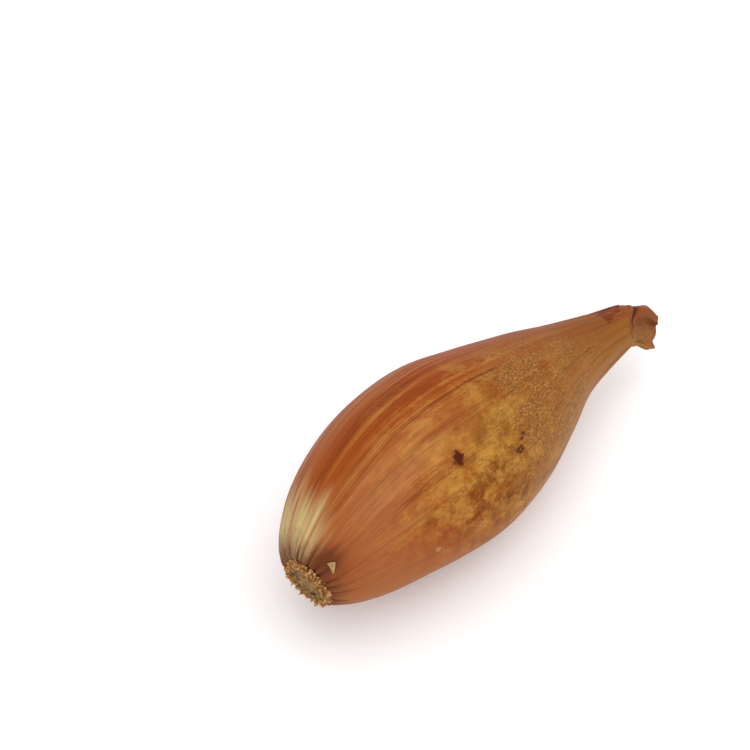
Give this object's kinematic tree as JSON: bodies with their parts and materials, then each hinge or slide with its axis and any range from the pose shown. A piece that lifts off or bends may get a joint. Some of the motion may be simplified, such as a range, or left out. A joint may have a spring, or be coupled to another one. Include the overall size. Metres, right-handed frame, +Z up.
{
  "type": "shallot bulb",
  "caption": "Long shallot bulb lying on its side: papery coppery-pink skin with fine lengthwise veins, a corky root plate with a ring of root stubs, and a dried, crumpled neck.",
  "frame": {"origin": "bottom centre of the bounding box, on the surface that the bulb lies on", "axes": "+X from the root plate to the dried neck, +Y to the left of that, +Z up"},
  "size_m": [0.1169, 0.0438, 0.0431],
  "materials": {
    "dry_skin": "thin papery dry skin with a soft satin sheen, coppery pink with tan and golden patches, fine brown lengthwise veins and russet speckles",
    "cork_and_roots": "matt corky disc, olive brown, with frayed straw-coloured root stubs",
    "dried_leaf": "crumpled dried leaf ends, reddish brown and golden tan, matt to satin",
    "loose_skin": "pale straw papery skin, satin"
  },
  "bodies": {
    "root": {"bulb": "dry_skin", "root_plate": "cork_and_roots", "dry_neck": "dried_leaf", "skin_flake": "loose_skin"}
  },
  "joints": []
}
